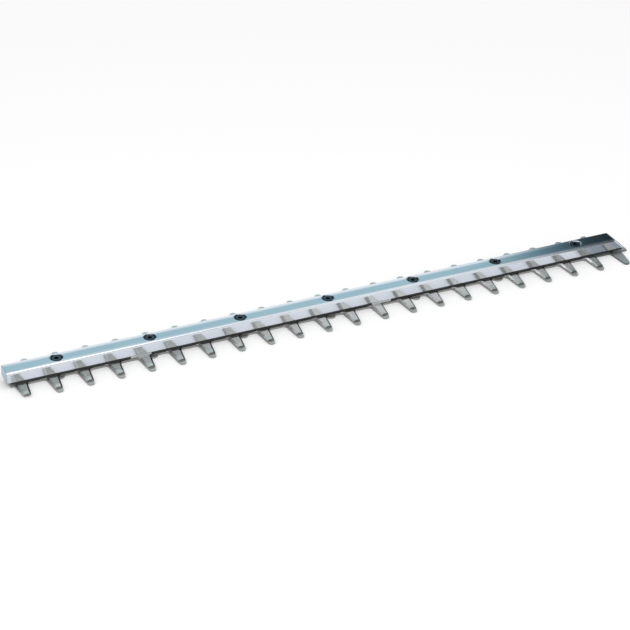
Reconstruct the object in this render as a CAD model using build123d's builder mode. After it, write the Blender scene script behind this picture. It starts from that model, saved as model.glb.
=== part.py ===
from build123d import *
import math
import os

# Hedge trimmer blade: a pressed channel rail carries a fixed comb blade, and a
# cutter blade slides lengthwise between the two. Millimetres, +X towards the
# nose, +Z up, the origin on the comb's underside at the middle of the length.
# Stations along the blade are measured from the rail's drive end.

# Teeth of both blades. The cutter's first tooth stands one pitch ahead of the
# comb's first, and the back row half a pitch behind the front row.
tooth_pitch = 30.0
front_teeth = 21
first_cutter_tooth = 13.2
blade_start = 3.4
spine_half = 8.2
tooth_taper = 7.5
gullet_round = 3.5

# The comb: long blunt teeth with round tips, and small lobes beside the bolts.
comb_thick = 1.8
comb_reach = 32.8
comb_tip_width = 5.8
comb_tip_flat = 0.4
comb_end = 13.3
lobe_round = 4.7
lobe_reach = 12.0
lobes = 6

# The cutter: shorter teeth with square ends and ground bevels.
cutter_thick = 1.8
cutter_reach = 28.0
cutter_tip_width = 7.0
cutter_end = 22.8
bevel_width = 1.8
edge_land = 0.6
slide_gap = 0.1

# The drive eye takes the crank pin, which comes up through a slot in the comb.
eye_round = 3.5
eye_land = 3.0
crank_clearance = 0.5

# The rail: a channel of sheet steel with closed ends and a sloping nose. Its top
# is slightly crowned across.
rail_height = 11.1
rail_crown = 45.0
rail_sheet = 1.6
rail_bend = 2.2
nose_run = 12.0
comb_past_rail = 4.5

# Wear strips and slide pads sit under the rail's legs. Each pad's middle lies
# towards the drive end from one of the bolts.
strip_height = 2.2
strip_recess = 0.3
strip_end_gap = 0.8
tongue_height = 3.0
tongue_thick = 1.5
tongue_gap = 0.3
pad_length = 20.4
pad_bolts = (2, 5)
pad_offsets = (12.0, 38.0)
pad_groove = 0.5
pad_rebate = 0.6

# The clamp bolts stand in dimples in the rail's top, the first one just past
# the end of the crank's slot.
bolt_count = 7
slot_to_bolt = 10.6
last_bolt_inset = 52.5
dimple_flare = 1.2
dimple_depth = 3.6
dimple_sheet = 1.4
screw_round = 2.5
screw_clearance = 0.25
screw_short = 0.4
head_round = 4.7
head_margin = 0.6
head_height = 2.8
head_edge = 0.4
socket_across = 4.0
socket_floor = 0.9
spacer_wall = 2.75
bush_wall = 1.5
bush_flange = 1.2
bush_seat_land = 0.6
bush_slide_gap = 0.15
bush_proud = 0.2
fit_gap = 0.02

# Levels above the comb's underside.
cutter_bottom = comb_thick + slide_gap
cutter_top = cutter_bottom + cutter_thick
strip_bottom = cutter_top + slide_gap
foot_level = strip_bottom + strip_height
rail_top = foot_level + rail_height
dimple_floor = rail_top - dimple_depth
dimple_under = dimple_floor - dimple_sheet
bush_top = cutter_top + bush_proud

# Radii that follow the screw, and the rail's width around what it holds.
bore_round = screw_round + screw_clearance
spacer_round = bore_round + spacer_wall
bush_round = screw_round + bush_wall
bush_flange_round = bush_round + bush_flange
bush_flange_height = comb_thick - bush_seat_land
dimple_floor_round = head_round + head_margin
dimple_round = dimple_floor_round + dimple_flare
rail_width = 2 * (spacer_round + tongue_gap + tongue_thick + rail_sheet)

# The stroke carries each cutter tooth from one comb tooth to the next.
stroke = tooth_pitch
back_stagger = tooth_pitch / 2
comb_first_front = first_cutter_tooth + tooth_pitch
comb_first_back = comb_first_front - back_stagger
last_front = comb_first_front + (front_teeth - 1) * tooth_pitch
overall_length = last_front + comb_end
comb_length = overall_length - blade_start
cutter_length = last_front - tooth_pitch + cutter_end - blade_start
rail_length = overall_length - comb_past_rail
eye_station = blade_start + eye_land + eye_round
first_bolt = eye_station + stroke + slot_to_bolt
bolt_pitch = (rail_length - last_bolt_inset - first_bolt) / (bolt_count - 1)
bolt_stations = [first_bolt + i * bolt_pitch for i in range(bolt_count)]

# Slack for telling apart levels when corners and edges are picked.
pick_slack = 0.01


def along(station):
    """Place on the X axis of a station measured from the rail's drive end."""
    return station - overall_length / 2


bolt_xs = [along(station) for station in bolt_stations]
comb_front_xs = [along(comb_first_front + i * tooth_pitch) for i in range(front_teeth)]
comb_back_xs = [along(comb_first_back + i * tooth_pitch) for i in range(front_teeth)]
cutter_front_xs = [x - tooth_pitch for x in comb_front_xs]
cutter_back_xs = comb_back_xs[:-1]
eye_x = along(eye_station)


def tooth_row(xs, reach, tip_width, turn):
    """Tapered teeth that grow from the centre line, turned to point one way."""
    root_width = tip_width + 2 * reach * math.tan(math.radians(tooth_taper))
    with Locations(*[(x, 0) for x in xs]):
        Trapezoid(
            root_width,
            reach,
            90 - tooth_taper,
            rotation=turn,
            align=(Align.CENTER, Align.MIN),
        )


def blade_outline(length, front_xs, back_xs, reach, tip_width):
    """The spine with both rows of teeth on it."""
    with Locations((along(blade_start), 0)):
        Rectangle(length, 2 * spine_half, align=(Align.MIN, Align.CENTER))
    tooth_row(front_xs, reach, tip_width, 180)
    tooth_row(back_xs, reach, tip_width, 0)


def gullet_corners(vertices, front_xs, back_xs):
    """Corners on the spine's edge that lie between two teeth of one row."""
    found = []
    for corner in vertices:
        row = front_xs if corner.Y < 0 else back_xs
        if abs(abs(corner.Y) - spine_half) < pick_slack and row[0] < corner.X < row[-1]:
            found.append(corner)
    return found


os.makedirs("parts", exist_ok=True)

# Fixed comb blade. A tip's round leaves a narrow flat between its two corners.
corner_share = math.tan(math.radians((90 - tooth_taper) / 2))
comb_tip_round = (comb_tip_width - comb_tip_flat) / 2 / corner_share
with BuildPart() as comb_blade:
    with BuildSketch() as comb_plan:
        blade_outline(comb_length, comb_front_xs, comb_back_xs, comb_reach, comb_tip_width)
        fillet(gullet_corners(comb_plan.vertices(), comb_front_xs, comb_back_xs), gullet_round)
        tips = [v for v in comb_plan.vertices() if abs(v.Y) > comb_reach - pick_slack]
        fillet(tips, comb_tip_round)
        with Locations(*[(x, lobe_round - lobe_reach) for x in bolt_xs[:lobes]]):
            Circle(lobe_round)
        with Locations((eye_x + stroke / 2, 0)):
            SlotCenterToCenter(stroke, 2 * (eye_round + crank_clearance), mode=Mode.SUBTRACT)
        with Locations(*[(x, 0) for x in bolt_xs]):
            Circle(bush_round + fit_gap, mode=Mode.SUBTRACT)
    extrude(amount=comb_thick)
    with Locations(*[(x, 0, 0) for x in bolt_xs]):
        Cone(
            bush_flange_round + fit_gap,
            bush_round + fit_gap,
            bush_flange_height,
            align=(Align.CENTER, Align.CENTER, Align.MIN),
            mode=Mode.SUBTRACT,
        )
comb_blade.part.label = "comb_blade"
export_step(comb_blade.part, "parts/comb_blade.step")

# Sliding cutter blade: slots for the bushes, and bevels ground along the teeth.
with BuildPart() as cutter_blade:
    with BuildSketch(Plane.XY.offset(cutter_bottom)) as cutter_plan:
        blade_outline(cutter_length, cutter_front_xs, cutter_back_xs, cutter_reach, cutter_tip_width)
        fillet(gullet_corners(cutter_plan.vertices(), cutter_front_xs, cutter_back_xs), gullet_round)
        with Locations(*[(x - stroke / 2, 0) for x in bolt_xs]):
            SlotCenterToCenter(stroke, 2 * (bush_round + bush_slide_gap), mode=Mode.SUBTRACT)
        with Locations((eye_x, 0)):
            Circle(eye_round, mode=Mode.SUBTRACT)
    extrude(amount=cutter_thick)
    cutter_face = cutter_blade.faces().sort_by(Axis.Z)[-1]
    outer_lines = cutter_face.outer_wire().edges().filter_by(GeomType.LINE)
    flanks = [
        edge
        for edge in outer_lines
        if abs(edge.tangent_at(0.5).Y) > abs(edge.tangent_at(0.5).X) and abs(edge.center().Y) > spine_half
    ]
    chamfer(flanks, length=bevel_width, length2=cutter_thick - edge_land, reference=cutter_face)
cutter_blade.part.label = "cutter_blade"
export_step(cutter_blade.part, "parts/cutter_blade.step")

# The rail's nose slopes up from its foot, and the last wear strips are cut to
# the slope's inner side.
nose_tilt = math.atan2(rail_height, nose_run)


def nose_plane(inset):
    """The nose's slope, moved inwards by a distance square to it."""
    return Plane(
        origin=(along(rail_length) - inset / math.sin(nose_tilt), 0, foot_level),
        z_dir=(math.sin(nose_tilt), 0, math.cos(nose_tilt)),
    )


def rail_section(inset):
    """The rail's crowned section, pulled in by a distance at its sides and top."""
    side = rail_width / 2 - inset
    crown = rail_crown - inset
    top = rail_top - inset
    shoulder = top - crown + math.sqrt(crown**2 - side**2)
    with BuildLine() as outline:
        ThreePointArc((-side, shoulder), (0, top), (side, shoulder))
        Polyline((side, shoulder), (side, foot_level), (-side, foot_level), (-side, shoulder))
    make_face(outline.edges())


# Channel rail, pressed from sheet, open underneath, with a dimple for each bolt.
with BuildPart() as guide_rail:
    with BuildSketch(Plane.YZ.offset(along(0))):
        rail_section(0)
    extrude(amount=rail_length)
    split(bisect_by=nose_plane(0), keep=Keep.BOTTOM)
    upper = guide_rail.edges().filter_by(lambda e: e.center().Z > foot_level + pick_slack)
    drive_edges = upper.filter_by(lambda e: e.center().X < along(rail_sheet))
    fillet(upper - drive_edges, rail_bend)
    with BuildSketch(Plane.YZ.offset(along(rail_sheet))) as hollow_section:
        rail_section(rail_sheet)
        shoulders = hollow_section.vertices().group_by(Axis.Y)[-1]
        fillet(shoulders, rail_bend - rail_sheet)
    hollow = extrude(amount=rail_length, mode=Mode.PRIVATE)
    hollow = split(hollow, bisect_by=nose_plane(rail_sheet), keep=Keep.BOTTOM, mode=Mode.PRIVATE)
    add(hollow, mode=Mode.SUBTRACT)
    with Locations(*[(x, 0, dimple_under) for x in bolt_xs]):
        Cone(
            dimple_floor_round + dimple_sheet,
            dimple_round + dimple_sheet / 2,
            rail_top - rail_sheet - dimple_under,
            align=(Align.CENTER, Align.CENTER, Align.MIN),
        )
    with Locations(*[(x, 0, dimple_floor) for x in bolt_xs]):
        Cone(
            dimple_floor_round,
            dimple_round,
            dimple_depth,
            align=(Align.CENTER, Align.CENTER, Align.MIN),
            mode=Mode.SUBTRACT,
        )
    with Locations(*[(x, 0, dimple_floor) for x in bolt_xs]):
        Hole(bore_round, depth=2 * dimple_sheet)
guide_rail.part.label = "guide_rail"
export_step(guide_rail.part, "parts/guide_rail.step")


def runner_profile(side, face):
    """L section: a band under the leg's foot and a tongue behind the leg."""
    leg = rail_width / 2 - rail_sheet
    with BuildLine() as outline:
        Polyline(
            (side * (leg - tongue_thick), strip_bottom),
            (side * face, strip_bottom),
            (side * face, foot_level),
            (side * leg, foot_level),
            (side * leg, foot_level + tongue_height),
            (side * (leg - tongue_thick), foot_level + tongue_height),
            close=True,
        )
    make_face(outline.edges())


# Wear strips and slide pads, alternating along both legs. The last strip is cut
# to the slope of the nose.
strip_face = rail_width / 2 - strip_recess
pad_middles = [bolt_stations[bolt - 1] - offset for bolt, offset in zip(pad_bolts, pad_offsets)]
pad_ends = [(middle - pad_length / 2, middle + pad_length / 2) for middle in pad_middles]
strip_starts = [blade_start] + [ends[1] for ends in pad_ends]
strip_ends = [ends[0] for ends in pad_ends] + [rail_length]
for side, row in ((-1, "front"), (1, "back")):
    for i, (start, end) in enumerate(zip(strip_starts, strip_ends), 1):
        with BuildPart() as wear_strip:
            with BuildSketch(Plane.YZ.offset(along(start))):
                runner_profile(side, strip_face)
            extrude(amount=end - start)
            split(bisect_by=nose_plane(rail_sheet + strip_end_gap), keep=Keep.BOTTOM)
        wear_strip.part.label = f"wear_strip_{row}_{i}"
        export_step(wear_strip.part, f"parts/wear_strip_{row}_{i}.step")
    for i, (start, end) in enumerate(pad_ends, 1):
        with BuildPart() as slide_pad:
            with BuildSketch(Plane.YZ.offset(along(start))):
                runner_profile(side, rail_width / 2)
                with Locations((side * rail_width / 2, foot_level)):
                    Rectangle(2 * pad_rebate, 2 * pad_groove, mode=Mode.SUBTRACT)
            extrude(amount=end - start)
        slide_pad.part.label = f"slide_pad_{row}_{i}"
        export_step(slide_pad.part, f"parts/slide_pad_{row}_{i}.step")

# Clamp stacks: a socket screw in each dimple, a spacer inside the rail, and a
# flanged bush that guides the cutter's slot and holds the comb up.
for i, x in enumerate(bolt_xs, 1):
    with BuildPart() as clamp_screw:
        with BuildSketch(Plane.XY.offset(dimple_floor)):
            with Locations((x, 0)):
                Circle(head_round)
        extrude(amount=head_height)
        chamfer(clamp_screw.edges().group_by(Axis.Z)[-1], head_edge)
        with BuildSketch(Plane.XY.offset(dimple_floor + head_height)):
            with Locations((x, 0)):
                RegularPolygon(socket_across / 2, 6, major_radius=False)
        extrude(amount=socket_floor - head_height, mode=Mode.SUBTRACT)
        with BuildSketch(Plane.XY.offset(dimple_floor)):
            with Locations((x, 0)):
                Circle(screw_round)
        extrude(amount=screw_short - dimple_floor)
    clamp_screw.part.label = f"clamp_screw_{i}"
    export_step(clamp_screw.part, f"parts/clamp_screw_{i}.step")

    with BuildPart() as rail_spacer:
        with BuildSketch(Plane.XY.offset(bush_top)):
            with Locations((x, 0)):
                Circle(spacer_round)
                Circle(bore_round, mode=Mode.SUBTRACT)
        extrude(amount=dimple_under - bush_top)
    rail_spacer.part.label = f"rail_spacer_{i}"
    export_step(rail_spacer.part, f"parts/rail_spacer_{i}.step")

    with BuildPart() as guide_bush:
        with BuildSketch(Plane((x, 0, 0), x_dir=(1, 0, 0), z_dir=(0, -1, 0))):
            with BuildLine():
                Polyline(
                    (screw_round + fit_gap, 0),
                    (bush_flange_round, 0),
                    (bush_round, bush_flange_height),
                    (bush_round, bush_top),
                    (screw_round + fit_gap, bush_top),
                    close=True,
                )
            make_face()
        revolve(axis=Axis((x, 0, 0), (0, 0, 1)))
    guide_bush.part.label = f"guide_bush_{i}"
    export_step(guide_bush.part, f"parts/guide_bush_{i}.step")
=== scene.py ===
"""Looks of a double-sided hedge trimmer blade: rail, comb, cutter, strips, pads and screws."""
import math

import bmesh
import bpy
from bpy.props import FloatProperty, FloatVectorProperty, IntProperty, PointerProperty
from mathutils import Matrix, Vector


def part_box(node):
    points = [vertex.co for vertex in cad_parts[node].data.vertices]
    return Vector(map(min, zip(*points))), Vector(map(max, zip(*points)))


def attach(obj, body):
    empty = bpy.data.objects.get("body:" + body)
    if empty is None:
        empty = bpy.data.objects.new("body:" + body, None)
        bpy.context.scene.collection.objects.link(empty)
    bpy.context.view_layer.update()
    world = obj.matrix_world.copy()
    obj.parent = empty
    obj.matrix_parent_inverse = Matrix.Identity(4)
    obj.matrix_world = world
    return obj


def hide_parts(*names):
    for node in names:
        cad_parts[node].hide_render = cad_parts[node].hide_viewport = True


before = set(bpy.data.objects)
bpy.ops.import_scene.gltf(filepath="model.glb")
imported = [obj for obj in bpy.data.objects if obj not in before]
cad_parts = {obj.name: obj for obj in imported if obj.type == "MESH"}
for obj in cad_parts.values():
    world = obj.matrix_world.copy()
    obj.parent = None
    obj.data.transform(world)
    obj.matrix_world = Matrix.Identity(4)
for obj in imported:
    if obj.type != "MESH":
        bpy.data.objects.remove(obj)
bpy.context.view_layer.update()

bl_info = {
    "name": "Hedge Trimmer Blade",
    "version": (1, 0, 0),
    "blender": (4, 5, 0),
    "location": "View3D > Sidebar > Blade",
    "description": "Dresses a hedge trimmer's cutter bar and sets up a plain studio for it",
    "category": "Object",
}

MM = 0.001
WHITE = (1, 1, 1, 1)


def nodes_named(start):
    """The CAD nodes whose names begin with a word, in order."""
    return sorted(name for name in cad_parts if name.startswith(start))


def middle(node):
    """The middle of a CAD node's box."""
    low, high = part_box(node)
    return (Vector(low) + Vector(high)) / 2


SCREWS = nodes_named("clamp_screw")
SPACERS = nodes_named("rail_spacer")
BUSHES = nodes_named("guide_bush")
STRIPS = nodes_named("wear_strip")
PADS = nodes_named("slide_pad")

FIRST_BOLT = middle(SCREWS[0]).x
BOLT_PITCH = middle(SCREWS[1]).x - FIRST_BOLT
SCREW_LOW, SCREW_HIGH = (Vector(corner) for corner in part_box(SCREWS[0]))
DRIVE_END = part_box("guide_rail")[0][0]

# The room that bright metal reflects. Each soft edge follows one part of the
# direction that is looked in, from where it begins to where it is complete.
ROOM_EDGES = {
    "over_horizon": ("Z", 0.33, 0.47),
    "under_ceiling": ("Z", 0.8, 0.69),
    "behind": ("Y", -0.1, 0.25),
    "to_right": ("X", -0.06, 0.14),
    "front_pale": ("X", 0.26, 0.4),
    "corner_left": ("X", 0.43, 0.462),
    "corner_right": ("X", 0.92, 0.78),
    "corner_top": ("Z", 0.91, 0.87),
    "corner_front": ("X", 0.438, 0.472),
}
# Going right, the wall behind turns from pale blue through slate to near black.
WALL_TONES = ((0.433, "#AACAD4"), (0.454, "#5C808F"), (0.467, "#324854"), (0.474, "#0B1015"))


def linear(hex_colour):
    """An sRGB hex colour as linear red, green and blue."""
    parts = [int(hex_colour[i:i + 2], 16) / 255 for i in (1, 3, 5)]
    return tuple(p / 12.92 if p <= 0.04045 else ((p + 0.055) / 1.055) ** 2.4 for p in parts)


def rgba(colour):
    """A colour with full opacity."""
    return (*colour[:3], 1)


def colour_property(name, description, hex_colour):
    """A colour that a user can change."""
    return FloatVectorProperty(
        name=name, description=description, subtype="COLOR",
        size=3, min=0, max=1, default=linear(hex_colour),
    )


class BladeFinish(bpy.types.PropertyGroup):
    """Colours of the blade's metals and plastics."""

    zinc: colour_property("Zinc plate", "Colour of the rail's bright plating", "#EEF1F5")
    zinc_cloud: colour_property("Zinc cloud", "Duller patches in the rail's plating", "#DFE4EB")
    # The end tab's colour is a painted blue-grey reflection on the rail's folded end.
    end_reflection_tint: colour_property("End tab", "Dulled plating on the rail's folded end", "#A9BDC8")
    steel: colour_property("Blade steel", "Colour of the ground comb and cutter", "#F8F7F4")
    steel_stain: colour_property("Steel stain", "Darker patches on the ground steel", "#D3D2CE")
    bevel: colour_property("Honed bevel", "Colour of the freshly honed bevels", "#D6D5D1")
    # Stamped wall and Comb wall are painted shade on the blades' upright walls.
    scale: colour_property("Stamped wall", "Scale on the cutter's stamped walls", "#84847F")
    comb_wall_shade: colour_property("Comb wall", "Colour of the comb's bare stamped walls", "#AFAFAB")
    nylon: colour_property("Black nylon", "Colour of the wear strips", "#262828")
    acetal: colour_property("Grey acetal", "Colour of the slide pads", "#C3C8C9")
    oxide: colour_property("Black oxide", "Colour of the blackened screws", "#56636B")
    turned: colour_property("Turned steel", "Colour of the spacers and bushes", "#B3B4B3")


class ScrewSizes(bpy.types.PropertyGroup):
    """Sizes of the clamp screws' details."""

    head_height: FloatProperty(
        name="Head height", description="Height of the screw's head",
        default=2.8 * MM, min=2.0 * MM, max=4.0 * MM, unit="LENGTH",
    )
    shank_round: FloatProperty(
        name="Shank radius", description="Radius of the screw's shank",
        default=2.5 * MM, min=1.5 * MM, max=3.0 * MM, unit="LENGTH",
    )
    edge_break: FloatProperty(
        name="Edge break", description="Width of the broken edges of head and shank",
        default=0.4 * MM, min=0.1 * MM, max=0.6 * MM, unit="LENGTH",
    )
    socket_across: FloatProperty(
        name="Socket", description="Width of the hexagon socket across flats",
        default=4.0 * MM, min=2.0 * MM, max=5.0 * MM, unit="LENGTH",
    )
    socket_depth: FloatProperty(
        name="Socket depth", description="Depth of the hexagon socket",
        default=1.9 * MM, min=1.0 * MM, max=2.4 * MM, unit="LENGTH",
    )
    knurls: IntProperty(
        name="Knurls", description="Grooves round each screw's head", default=48, min=24, max=72,
    )
    knurl_depth: FloatProperty(
        name="Knurl depth", description="Depth of the grooves round the head",
        default=0.14 * MM, min=0.02 * MM, max=0.3 * MM, unit="LENGTH",
    )


class StudioSettings(bpy.types.PropertyGroup):
    """The camera, the levels of the light, and the colours of the floor and the room."""

    camera_place: FloatVectorProperty(
        name="Camera", description="Place of the camera", subtype="TRANSLATION", unit="LENGTH",
        default=(-0.7676, -1.6291, 1.0969),
    )
    camera_turn: FloatVectorProperty(
        name="Camera turn", description="Tilt, roll and heading of the camera",
        subtype="EULER", unit="ROTATION",
        default=tuple(math.radians(angle) for angle in (58.566, -0.854, -24.227)),
    )
    lens: FloatProperty(
        name="Lens", description="Focal length on a 36 mm sensor",
        default=124.31, min=20, unit="CAMERA",
    )
    room_level: FloatProperty(
        name="Room light", description="Strength of the even light of the room",
        default=0.86, min=0,
    )
    key_power: FloatProperty(
        name="Key light", description="Power of the large soft lamp",
        default=7.0, min=0, unit="POWER",
    )
    floor_colour: colour_property("Floor", "Floor as the metal sees it", "#E9EBEF")
    # Floor shade is a painted shade on the paper past the nose.
    floor_shade: colour_property("Floor shade", "Floor past the nose, seen by metal", "#949CA4")
    ceiling: colour_property("Ceiling", "Ceiling of the reflected room", "#F1F4F7")
    front_left: colour_property("Front left", "Camera's side of the room, left", "#8B918F")
    front_right: colour_property("Front right", "Camera's side of the room, right", "#FDFDFC")
    back_left: colour_property("Back left", "Room behind the blade, far left", "#CDD1D3")
    back_right: colour_property("Back right", "Room behind the blade, off the wall", "#F6FAFC")


def put(tree, kind, inputs=None, **settings):
    """Adds a node with its settings, and sets or links its inputs."""
    node = tree.nodes.new(kind)
    for name, value in settings.items():
        setattr(node, name, value)
    for key, value in (inputs or {}).items():
        if isinstance(value, bpy.types.NodeSocket):
            tree.links.new(value, node.inputs[key])
        else:
            node.inputs[key].default_value = value
    return node


def new_material(name):
    """An empty material, returned with its node tree."""
    material = bpy.data.materials.new(name)
    material.use_nodes = True
    material.node_tree.nodes.clear()
    return material, material.node_tree


def finish_surface(tree, surface):
    """Ends a material with its shader, whose inputs are given, and the output."""
    shader = put(tree, "ShaderNodeBsdfPrincipled", surface)
    put(tree, "ShaderNodeOutputMaterial", {"Surface": shader.outputs["BSDF"]})


def per_metre(*sizes):
    """How many of a pattern's features go in a metre, each way, from their sizes."""
    return tuple(1 / size for size in sizes)


def bright_zinc_sheet(finish):
    """Cold-rolled steel sheet with bright zinc plate: nearly a mirror, clouded in
    patches, with faint rolling streaks along the rail that soften its reflections."""
    material, tree = new_material("bright_zinc_sheet")
    where = put(tree, "ShaderNodeTexCoord").outputs["Object"]
    # Rolling streaks run along the rail.
    streak_length, streak_width = 80 * MM, 1.20482 * MM
    drawn = put(tree, "ShaderNodeMapping", {
        "Vector": where, "Scale": per_metre(streak_length, streak_width, streak_width),
    })
    streaks = put(tree, "ShaderNodeTexNoise", {
        "Vector": drawn.outputs["Vector"], "Scale": 1.0, "Detail": 4.0,
    })
    # Clouds in the plating are longer along the rail than across it.
    cloud_length, cloud_width = 62.5 * MM, 25 * MM
    spread = put(tree, "ShaderNodeMapping", {
        "Vector": where, "Scale": per_metre(cloud_length, cloud_width, cloud_width),
    })
    clouds = put(tree, "ShaderNodeTexNoise", {
        "Vector": spread.outputs["Vector"], "Scale": 1.0, "Detail": 3.0,
    })
    colour = put(tree, "ShaderNodeMix", {
        "Factor": clouds.outputs["Fac"], "A": rgba(finish.zinc), "B": rgba(finish.zinc_cloud),
    }, data_type="RGBA")
    # The end folded down at the drive end gets a painted blue-grey reflection, darker than the
    # plate.
    tab_begins, tab_complete = 0.7 * MM, 0.2 * MM
    place = put(tree, "ShaderNodeSeparateXYZ", {"Vector": where})
    at_end = put(tree, "ShaderNodeMapRange", {
        "Value": place.outputs["X"],
        "From Min": DRIVE_END + tab_begins,
        "From Max": DRIVE_END + tab_complete,
    })
    plate = put(tree, "ShaderNodeMix", {
        "Factor": at_end.outputs["Result"],
        "A": colour.outputs["Result"],
        "B": rgba(finish.end_reflection_tint),
    }, data_type="RGBA")
    rough = put(tree, "ShaderNodeMapRange", {
        "Value": streaks.outputs["Fac"], "To Min": 0.06, "To Max": 0.15,
    })
    bump = put(tree, "ShaderNodeBump", {
        "Height": streaks.outputs["Fac"], "Strength": 0.08, "Distance": 0.02 * MM,
    })
    finish_surface(tree, {
        "Base Color": plate.outputs["Result"],
        "Metallic": 1.0,
        "Roughness": rough.outputs["Result"],
        "Normal": bump.outputs["Normal"],
    })
    return material


def ground_blade_steel(name, wall_shade_colour, dull, finish):
    """Hardened steel, surface ground lengthwise: satin, with fine lines along the
    blade, darker handling stains and honed bevels where faces slope. The stamped
    walls are darkened with painted shade: darker on the cutter, lighter on the comb,
    which is also left duller, by as much roughness as dull says."""
    material, tree = new_material(name)
    coordinates = put(tree, "ShaderNodeTexCoord")
    where = coordinates.outputs["Object"]
    # Grinding lines are finer than the render shows, so they are drawn this coarse.
    line_length, line_width = 15.1515 * MM, 0.4 * MM
    drawn = put(tree, "ShaderNodeMapping", {
        "Vector": where, "Scale": per_metre(line_length, line_width, line_width),
    })
    lines = put(tree, "ShaderNodeTexNoise", {
        "Vector": drawn.outputs["Vector"], "Scale": 1.0, "Detail": 3.0,
    })
    stain_size = 11.7647 * MM
    stains = put(tree, "ShaderNodeTexNoise", {
        "Vector": where, "Scale": 1 / stain_size, "Detail": 5.0, "Roughness": 0.6,
    })
    flat_colour = put(tree, "ShaderNodeMix", {
        "Factor": stains.outputs["Fac"], "A": rgba(finish.steel), "B": rgba(finish.steel_stain),
    }, data_type="RGBA")
    # Honing lines cross each bevel, one after the other along the tooth.
    honing_length, honing_spacing = 4 * MM, 0.30303 * MM
    across = put(tree, "ShaderNodeMapping", {
        "Vector": where, "Scale": per_metre(honing_length, honing_spacing, honing_length),
    })
    honing = put(tree, "ShaderNodeTexNoise", {
        "Vector": across.outputs["Vector"], "Scale": 1.0, "Detail": 2.0,
    })
    # The upright part of a normal is 1 on a flat, about 0.83 on a bevel, 0 on a wall.
    upright = put(tree, "ShaderNodeSeparateXYZ", {"Vector": coordinates.outputs["Normal"]})
    off_flat = put(tree, "ShaderNodeMapRange", {
        "Value": upright.outputs["Z"], "From Min": 0.97, "From Max": 0.9,
    })
    off_wall = put(tree, "ShaderNodeMapRange", {
        "Value": upright.outputs["Z"], "From Min": 0.3, "From Max": 0.5,
    })
    bevel = put(tree, "ShaderNodeMath", {
        0: off_flat.outputs["Result"], 1: off_wall.outputs["Result"],
    }, operation="MULTIPLY")
    ground = put(tree, "ShaderNodeMix", {
        "Factor": bevel.outputs["Value"],
        "A": flat_colour.outputs["Result"],
        "B": rgba(finish.bevel),
    }, data_type="RGBA")
    # Upright walls get painted shade in the wall colour.
    colour = put(tree, "ShaderNodeMix", {
        "Factor": off_wall.outputs["Result"],
        "A": rgba(wall_shade_colour),
        "B": ground.outputs["Result"],
    }, data_type="RGBA")
    flat_rough = put(tree, "ShaderNodeMapRange", {
        "Value": lines.outputs["Fac"], "To Min": 0.15 + dull, "To Max": 0.29 + dull,
    })
    bevel_rough = put(tree, "ShaderNodeMapRange", {
        "Value": honing.outputs["Fac"], "To Min": 0.16, "To Max": 0.3,
    })
    rough = put(tree, "ShaderNodeMix", {
        "Factor": bevel.outputs["Value"],
        "A": flat_rough.outputs["Result"],
        "B": bevel_rough.outputs["Result"],
    }, data_type="FLOAT")
    marks = put(tree, "ShaderNodeMix", {
        "Factor": bevel.outputs["Value"], "A": lines.outputs["Fac"], "B": honing.outputs["Fac"],
    }, data_type="FLOAT")
    bump = put(tree, "ShaderNodeBump", {
        "Height": marks.outputs["Result"], "Strength": 0.15, "Distance": 0.02 * MM,
    })
    finish_surface(tree, {
        "Base Color": colour.outputs["Result"],
        "Metallic": 1.0,
        "Roughness": rough.outputs["Result"],
        "Normal": bump.outputs["Normal"],
    })
    return material


def moulded_plastic(name, colour, rough_low, rough_high):
    """Moulded nylon or acetal: a dull, finely grained skin, polished in patches
    where it slides on steel."""
    material, tree = new_material(name)
    where = put(tree, "ShaderNodeTexCoord").outputs["Object"]
    grain_size, rubbed_size = 0.3 * MM, 8 * MM
    grain = put(tree, "ShaderNodeTexNoise", {
        "Vector": where, "Scale": 1 / grain_size, "Detail": 2.0,
    })
    rubbed = put(tree, "ShaderNodeTexNoise", {
        "Vector": where, "Scale": 1 / rubbed_size, "Detail": 3.0,
    })
    darker = tuple(part * 0.82 for part in colour)
    tint = put(tree, "ShaderNodeMix", {
        "Factor": rubbed.outputs["Fac"], "A": rgba(colour), "B": rgba(darker),
    }, data_type="RGBA")
    rough = put(tree, "ShaderNodeMapRange", {
        "Value": rubbed.outputs["Fac"], "To Min": rough_low, "To Max": rough_high,
    })
    bump = put(tree, "ShaderNodeBump", {
        "Height": grain.outputs["Fac"], "Strength": 0.25, "Distance": 0.05 * MM,
    })
    finish_surface(tree, {
        "Base Color": tint.outputs["Result"],
        "Roughness": rough.outputs["Result"],
        "Normal": bump.outputs["Normal"],
    })
    return material


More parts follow.
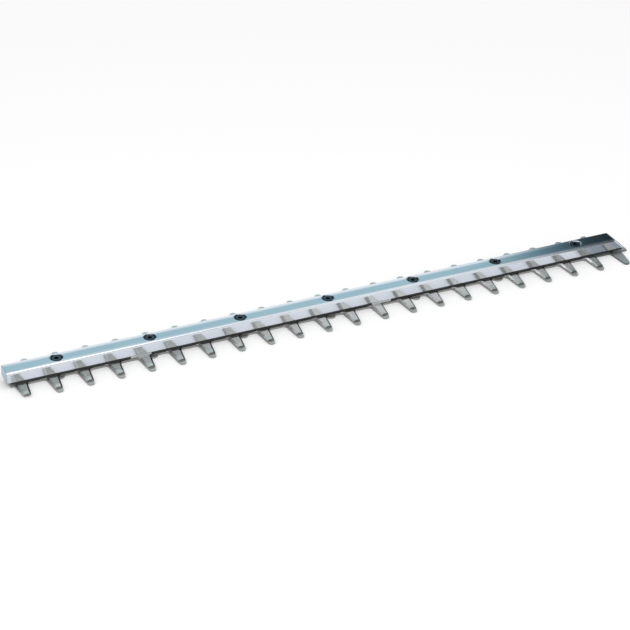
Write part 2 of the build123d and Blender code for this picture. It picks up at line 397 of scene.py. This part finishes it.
def turned_steel(name, colour, rough_low, rough_high):
    """Steel turned on a lathe: fine rings round each bolt's axis, and worn patches."""
    material, tree = new_material(name)
    where = put(tree, "ShaderNodeTexCoord").outputs["Object"]
    place = put(tree, "ShaderNodeSeparateXYZ", {"Vector": where})
    # Every bolt's axis is brought to nought by wrapping the length at half a pitch.
    from_bolt = put(tree, "ShaderNodeMath", {
        0: place.outputs["X"], 1: FIRST_BOLT,
    }, operation="SUBTRACT")
    wrapped = put(tree, "ShaderNodeMath", {
        0: from_bolt.outputs["Value"], 1: BOLT_PITCH / 2, 2: -BOLT_PITCH / 2,
    }, operation="WRAP")
    flat_place = put(tree, "ShaderNodeCombineXYZ", {
        "X": wrapped.outputs["Value"], "Y": place.outputs["Y"],
    })
    radius = put(tree, "ShaderNodeVectorMath", {
        0: flat_place.outputs["Vector"],
    }, operation="LENGTH")
    # Turning marks are measured outwards and along the axis together.
    mark_spacing = 0.25 * MM
    along_tool = put(tree, "ShaderNodeMath", {
        0: radius.outputs["Value"], 1: place.outputs["Z"],
    }, operation="ADD")
    phase = put(tree, "ShaderNodeMath", {
        0: along_tool.outputs["Value"], 1: 2 * math.pi / mark_spacing,
    }, operation="MULTIPLY")
    rings = put(tree, "ShaderNodeMath", {0: phase.outputs["Value"]}, operation="SINE")
    wear_size = 3.33333 * MM
    wear = put(tree, "ShaderNodeTexNoise", {
        "Vector": where, "Scale": 1 / wear_size, "Detail": 3.0,
    })
    darker = tuple(part * 0.7 for part in colour)
    tint = put(tree, "ShaderNodeMix", {
        "Factor": wear.outputs["Fac"], "A": rgba(colour), "B": rgba(darker),
    }, data_type="RGBA")
    rough = put(tree, "ShaderNodeMapRange", {
        "Value": wear.outputs["Fac"], "To Min": rough_low, "To Max": rough_high,
    })
    bump = put(tree, "ShaderNodeBump", {
        "Height": rings.outputs["Value"], "Strength": 0.3, "Distance": 0.01 * MM,
    })
    finish_surface(tree, {
        "Base Color": tint.outputs["Result"],
        "Metallic": 1.0,
        "Roughness": rough.outputs["Result"],
        "Normal": bump.outputs["Normal"],
    })
    return material


def dress(names, material):
    """Gives CAD nodes a material in the slots they have."""
    for name in names:
        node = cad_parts[name]
        if not node.material_slots:
            node.data.materials.append(material)
        for slot in node.material_slots:
            slot.material = material


class BLADE_OT_rail(bpy.types.Operator):
    """Gives the channel rail its bright zinc plate"""

    bl_idname = "blade.rail"
    bl_label = "Rail"

    def execute(self, context):
        dress(["guide_rail"], bright_zinc_sheet(context.scene.blade_finish))
        return {"FINISHED"}


class BLADE_OT_blades(bpy.types.Operator):
    """Gives the comb and the cutter their ground steel"""

    bl_idname = "blade.blades"
    bl_label = "Comb and cutter"

    def execute(self, context):
        finish = context.scene.blade_finish
        # The wall colours passed here are painted shade on the stamped walls.
        comb_steel = ground_blade_steel("ground_comb_steel", finish.comb_wall_shade, 0.18, finish)
        cutter_steel = ground_blade_steel("ground_cutter_steel", finish.scale, 0.0, finish)
        dress(["comb_blade"], comb_steel)
        dress(["cutter_blade"], cutter_steel)
        return {"FINISHED"}


class BLADE_OT_runners(bpy.types.Operator):
    """Gives the wear strips and slide pads their moulded plastic"""

    bl_idname = "blade.runners"
    bl_label = "Strips and pads"

    def execute(self, context):
        finish = context.scene.blade_finish
        dress(STRIPS, moulded_plastic("moulded_black_nylon", finish.nylon, 0.38, 0.6))
        dress(PADS, moulded_plastic("moulded_grey_acetal", finish.acetal, 0.3, 0.5))
        return {"FINISHED"}


class BLADE_OT_stacks(bpy.types.Operator):
    """Gives the spacers and bushes their turned steel"""

    bl_idname = "blade.stacks"
    bl_label = "Spacers and bushes"

    def execute(self, context):
        finish = context.scene.blade_finish
        dress(SPACERS, turned_steel("turned_spacer_steel", finish.turned, 0.3, 0.45))
        dress(BUSHES, turned_steel("hardened_bush_steel", finish.turned, 0.2, 0.35))
        return {"FINISHED"}


def pick(mesh, kind, test):
    """Selects the faces or edges of the mesh being edited that pass a test."""
    bpy.ops.mesh.select_mode(type=kind)
    bpy.ops.mesh.select_all(action="DESELECT")
    shape = bmesh.from_edit_mesh(mesh)
    parts = {"EDGE": shape.edges, "FACE": shape.faces}[kind]
    found = [part for part in parts if test(part)]
    if not found:
        raise RuntimeError("nothing was found to shape on " + mesh.name)
    for part in found:
        part.select_set(True)
    shape.select_flush_mode()
    bmesh.update_edit_mesh(mesh)


def level(edge):
    """An edge's mean height."""
    return (edge.verts[0].co.z + edge.verts[1].co.z) / 2


class BLADE_OT_screws(bpy.types.Operator):
    """Makes the socket screws that stand in the rail's dimples"""

    bl_idname = "blade.screws"
    bl_label = "Clamp screws"

    def execute(self, context):
        sizes = context.scene.blade_screws
        near = 0.01 * MM
        head_round = (SCREW_HIGH.x - SCREW_LOW.x) / 2
        shank_length = SCREW_HIGH.z - SCREW_LOW.z - sizes.head_height
        # Heights are measured from the middle of the head until its place is applied.
        top = sizes.head_height / 2
        shank_end = -top - shank_length
        bpy.ops.object.select_all(action="DESELECT")
        bpy.ops.mesh.primitive_cylinder_add(
            vertices=sizes.knurls, radius=head_round, depth=sizes.head_height,
            location=(FIRST_BOLT, 0, SCREW_HIGH.z - top),
        )
        screw = context.active_object
        screw.name = "socket_screw_1"
        mesh = screw.data
        bpy.ops.object.mode_set(mode="EDIT")
        # Straight knurls round the head's wall, before its rims are broken.
        knurl_land = 0.08 * MM
        pick(mesh, "FACE", lambda f: abs(f.normal.z) < 0.5)
        bpy.ops.mesh.inset(
            thickness=knurl_land, depth=-sizes.knurl_depth, use_individual=True
        )
        # The shank under the head, with a chamfered end.
        pick(mesh, "FACE", lambda f: f.normal.z < -0.9)
        bpy.ops.mesh.inset(thickness=head_round - sizes.shank_round, depth=0)
        bpy.ops.mesh.extrude_region_move(
            TRANSFORM_OT_translate={"value": (0, 0, -shank_length)}
        )
        pick(mesh, "EDGE", lambda e: level(e) < shank_end + near)
        bpy.ops.mesh.bevel(offset=sizes.edge_break, segments=1)
        # The head's upper rim is rounded, and the crown is opened for the socket.
        crown_ring = 0.5 * MM
        pick(mesh, "EDGE", lambda e: level(e) > top - near)
        bpy.ops.mesh.bevel(offset=sizes.edge_break, segments=3)
        pick(mesh, "FACE", lambda f: f.normal.z > 0.99 and f.calc_center_median().z > top - near)
        bpy.ops.mesh.inset(thickness=crown_ring, depth=0)
        bpy.ops.mesh.delete(type="ONLY_FACE")
        # The hexagon is a separate loop. It is bridged to the crown's rim from a step
        # below, since two loops at one height can be bridged inside out, then raised
        # to the crown and sunk.
        bridge_step = 1 * MM
        bpy.ops.mesh.select_all(action="DESELECT")
        corner_round = sizes.socket_across / 2 / math.cos(math.radians(30))
        bpy.ops.mesh.primitive_circle_add(
            vertices=6, radius=corner_round,
            location=(FIRST_BOLT, 0, SCREW_HIGH.z - bridge_step), fill_type="NOTHING",
        )
        pick(mesh, "EDGE", lambda e: len(e.link_faces) < 2)
        bpy.ops.mesh.bridge_edge_loops()
        pick(mesh, "EDGE", lambda e: e.is_boundary)
        bpy.ops.transform.translate(value=(0, 0, bridge_step))
        bpy.ops.mesh.extrude_edges_move(
            TRANSFORM_OT_translate={"value": (0, 0, -sizes.socket_depth)}
        )
        bpy.ops.mesh.edge_face_add()
        bpy.ops.mesh.select_all(action="SELECT")
        bpy.ops.mesh.normals_make_consistent(inside=False)
        # The drill's shallow cone in the socket's floor.
        socket_floor = top - sizes.socket_depth
        pick(mesh, "FACE", lambda f: abs(f.calc_center_median().z - socket_floor) < near)
        floor_ring, cone_run, cone_depth = 0.35 * MM, 1.2 * MM, 0.35 * MM
        bpy.ops.mesh.inset(thickness=floor_ring, depth=0)
        bpy.ops.mesh.inset(thickness=cone_run, depth=-cone_depth)
        bpy.ops.mesh.select_all(action="SELECT")
        bpy.ops.mesh.remove_doubles(threshold=0.002 * MM)
        bpy.ops.mesh.normals_make_consistent(inside=False)
        bpy.ops.object.mode_set(mode="OBJECT")
        bpy.ops.object.transform_apply(location=True, rotation=True, scale=True)
        bpy.ops.object.shade_smooth_by_angle(angle=math.radians(28))
        oxide = context.scene.blade_finish.oxide
        mesh.materials.clear()
        mesh.materials.append(turned_steel("black_oxide_screw_steel", oxide, 0.16, 0.3))
        for number, node in enumerate(SCREWS, 1):
            piece = screw
            if number > 1:
                piece = screw.copy()
                piece.data = mesh.copy()
                piece.name = "socket_screw_%d" % number
                context.scene.collection.objects.link(piece)
                piece.data.transform(Matrix.Translation((middle(node).x - FIRST_BOLT, 0, 0)))
            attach(piece, "carrier")
            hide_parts(node)
        return {"FINISHED"}


def studio_world(settings):
    """Even neutral light for dull surfaces. Glossy metal sees the room: a pale
    horizon, a pale blue wall behind the blade that turns into a dark corner at the
    right, a camera's side that is grey at the left and pale at the right, and a
    near-white ceiling. The camera sees plain white."""
    world = bpy.data.worlds.new("soft_studio")
    world.use_nodes = True
    tree = world.node_tree
    tree.nodes.clear()
    direction = put(tree, "ShaderNodeTexCoord").outputs["Generated"]
    parts = put(tree, "ShaderNodeSeparateXYZ", {"Vector": direction})
    edge = {}
    for name, (axis, begins, complete) in ROOM_EDGES.items():
        edge[name] = put(tree, "ShaderNodeMapRange", {
            "Value": parts.outputs[axis], "From Min": begins, "From Max": complete,
        }, interpolation_type="SMOOTHSTEP").outputs["Result"]
    band = put(tree, "ShaderNodeMath", {
        0: edge["over_horizon"], 1: edge["under_ceiling"],
    }, operation="MULTIPLY")
    # The blue wall stands behind the blade, and doesn't reach round to its left.
    wall = put(tree, "ShaderNodeMath", {
        0: edge["behind"], 1: edge["to_right"],
    }, operation="MULTIPLY")
    blue = put(tree, "ShaderNodeMath", {
        0: wall.outputs["Value"], 1: band.outputs["Value"],
    }, operation="MULTIPLY")
    wall_tone = put(tree, "ShaderNodeValToRGB", {"Fac": parts.outputs["X"]})
    ramp = wall_tone.color_ramp.elements
    ramp[0].position = WALL_TONES[0][0]
    ramp[1].position = WALL_TONES[-1][0]
    for position, tone in WALL_TONES[1:-1]:
        ramp.new(position)
    for stop, (position, tone) in zip(ramp, WALL_TONES):
        stop.color = rgba(linear(tone))
    # The dark corner stands on the floor, and ends just below the ceiling. It reaches
    # round to the camera's side too, from a little further right.
    dark_behind = put(tree, "ShaderNodeMath", {
        0: edge["corner_left"], 1: edge["corner_top"],
    }, operation="MULTIPLY")
    dark_round = put(tree, "ShaderNodeMix", {
        "Factor": edge["behind"], "A": edge["corner_front"], "B": dark_behind.outputs["Value"],
    }, data_type="FLOAT")
    dark = put(tree, "ShaderNodeMath", {
        0: dark_round.outputs["Result"], 1: edge["corner_right"],
    }, operation="MULTIPLY")
    front_wall = put(tree, "ShaderNodeMix", {
        "Factor": edge["front_pale"],
        "A": rgba(settings.front_left),
        "B": rgba(settings.front_right),
    }, data_type="RGBA")
    front = put(tree, "ShaderNodeMix", {
        "Factor": band.outputs["Value"],
        "A": rgba(settings.ceiling),
        "B": front_wall.outputs["Result"],
    }, data_type="RGBA")
    back = put(tree, "ShaderNodeMix", {
        "Factor": edge["to_right"],
        "A": rgba(settings.back_left),
        "B": rgba(settings.back_right),
    }, data_type="RGBA")
    room = put(tree, "ShaderNodeMix", {
        "Factor": edge["behind"], "A": front.outputs["Result"], "B": back.outputs["Result"],
    }, data_type="RGBA")
    walled = put(tree, "ShaderNodeMix", {
        "Factor": blue.outputs["Value"],
        "A": room.outputs["Result"],
        "B": wall_tone.outputs["Color"],
    }, data_type="RGBA")
    seen = put(tree, "ShaderNodeMix", {
        "Factor": dark.outputs["Value"],
        "A": walled.outputs["Result"],
        "B": wall_tone.outputs["Color"],
    }, data_type="RGBA")
    glossy = put(tree, "ShaderNodeBackground", {"Color": seen.outputs["Result"], "Strength": 1.0})
    even = put(tree, "ShaderNodeBackground", {"Color": WHITE, "Strength": settings.room_level})
    backdrop = put(tree, "ShaderNodeBackground", {"Color": WHITE, "Strength": 1.0})
    rays = put(tree, "ShaderNodeLightPath")
    lit = put(tree, "ShaderNodeMixShader", {
        0: rays.outputs["Is Glossy Ray"],
        1: even.outputs["Background"],
        2: glossy.outputs["Background"],
    })
    shown = put(tree, "ShaderNodeMixShader", {
        0: rays.outputs["Is Camera Ray"],
        1: lit.outputs["Shader"],
        2: backdrop.outputs["Background"],
    })
    put(tree, "ShaderNodeOutputWorld", {"Surface": shown.outputs["Shader"]})
    return world


def matt_paper(settings):
    """Matt paper of the studio floor. The camera sees it as plain white. The metal
    sees its own colour, with a painted shade on it from the nose on."""
    material, tree = new_material("matt_paper_floor")
    # The painted shade begins and is complete at these lengths along the floor.
    shade_begins, shade_complete = 272 * MM, 300 * MM
    where = put(tree, "ShaderNodeTexCoord").outputs["Object"]
    spot = put(tree, "ShaderNodeSeparateXYZ", {"Vector": where})
    past_nose = put(tree, "ShaderNodeMapRange", {
        "Value": spot.outputs["X"], "From Min": shade_begins, "From Max": shade_complete,
    }, interpolation_type="SMOOTHSTEP")
    shaded = put(tree, "ShaderNodeMix", {
        "Factor": past_nose.outputs["Result"],
        "A": rgba(settings.floor_colour),
        "B": rgba(settings.floor_shade),
    }, data_type="RGBA")
    rays = put(tree, "ShaderNodeLightPath")
    paper = put(tree, "ShaderNodeMix", {
        "Factor": rays.outputs["Is Camera Ray"], "A": shaded.outputs["Result"], "B": WHITE,
    }, data_type="RGBA")
    finish_surface(tree, {
        "Base Color": paper.outputs["Result"], "Roughness": 0.9, "Specular IOR Level": 0.0,
    })
    return material


class BLADE_OT_studio(bpy.types.Operator):
    """Sets up the pale floor, the soft light and the camera"""

    bl_idname = "blade.studio"
    bl_label = "Studio"

    def execute(self, context):
        scene = context.scene
        settings = scene.blade_studio
        scene.view_settings.view_transform = "Standard"
        scene.world = studio_world(settings)
        # The floor lies just under the comb and runs out to the horizon.
        floor_size, floor_gap = 24, 0.05 * MM
        bpy.ops.object.select_all(action="DESELECT")
        bpy.ops.mesh.primitive_grid_add(
            x_subdivisions=8, y_subdivisions=8, size=floor_size, location=(0, 0, -floor_gap)
        )
        floor = context.active_object
        floor.name = "studio_floor"
        bpy.ops.object.transform_apply(location=True, rotation=True, scale=True)
        floor.data.materials.append(matt_paper(settings))
        # One large soft lamp, high on the camera's side, turned to the blade.
        lamp = bpy.data.lights.new("soft_key", "AREA")
        lamp.shape = "RECTANGLE"
        lamp.size = 1.6
        lamp.size_y = 1.0
        lamp.energy = settings.key_power
        key = bpy.data.objects.new("soft_key", lamp)
        key.location = (-0.35, -0.75, 1.5)
        key.rotation_euler = (-key.location).to_track_quat("-Z", "Y").to_euler()
        scene.collection.objects.link(key)
        eye = bpy.data.cameras.new("photo_camera")
        eye.sensor_width = 36
        eye.lens = settings.lens
        eye.clip_start = 0.01
        eye.clip_end = 100
        camera = bpy.data.objects.new("photo_camera", eye)
        camera.matrix_world = Matrix.LocRotScale(
            settings.camera_place, settings.camera_turn, None
        )
        scene.collection.objects.link(camera)
        scene.camera = camera
        return {"FINISHED"}


class BLADE_PT_panel(bpy.types.Panel):
    """Lists the steps that dress the blade"""

    bl_label = "Hedge trimmer blade"
    bl_idname = "BLADE_PT_panel"
    bl_space_type = "VIEW_3D"
    bl_region_type = "UI"
    bl_category = "Blade"

    def draw(self, context):
        scene = context.scene
        for operator in OPERATORS:
            self.layout.operator(operator.bl_idname)
        for group in (scene.blade_finish, scene.blade_screws, scene.blade_studio):
            for name in group.__annotations__:
                self.layout.prop(group, name)


GROUPS = (BladeFinish, ScrewSizes, StudioSettings)
OPERATORS = (
    BLADE_OT_studio,
    BLADE_OT_rail,
    BLADE_OT_blades,
    BLADE_OT_runners,
    BLADE_OT_stacks,
    BLADE_OT_screws,
)
CLASSES = GROUPS + OPERATORS + (BLADE_PT_panel,)


def register():
    """Registers the settings, the operators and the panel."""
    for each in CLASSES:
        bpy.utils.register_class(each)
    bpy.types.Scene.blade_finish = PointerProperty(type=BladeFinish)
    bpy.types.Scene.blade_screws = PointerProperty(type=ScrewSizes)
    bpy.types.Scene.blade_studio = PointerProperty(type=StudioSettings)


def unregister():
    """Takes the settings, the operators and the panel away again."""
    del bpy.types.Scene.blade_studio
    del bpy.types.Scene.blade_screws
    del bpy.types.Scene.blade_finish
    for each in reversed(CLASSES):
        bpy.utils.unregister_class(each)


def main():
    """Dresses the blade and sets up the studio."""
    register()
    bpy.ops.blade.studio()
    bpy.ops.blade.rail()
    bpy.ops.blade.blades()
    bpy.ops.blade.runners()
    bpy.ops.blade.stacks()
    bpy.ops.blade.screws()


if __name__ == "__main__":
    main()
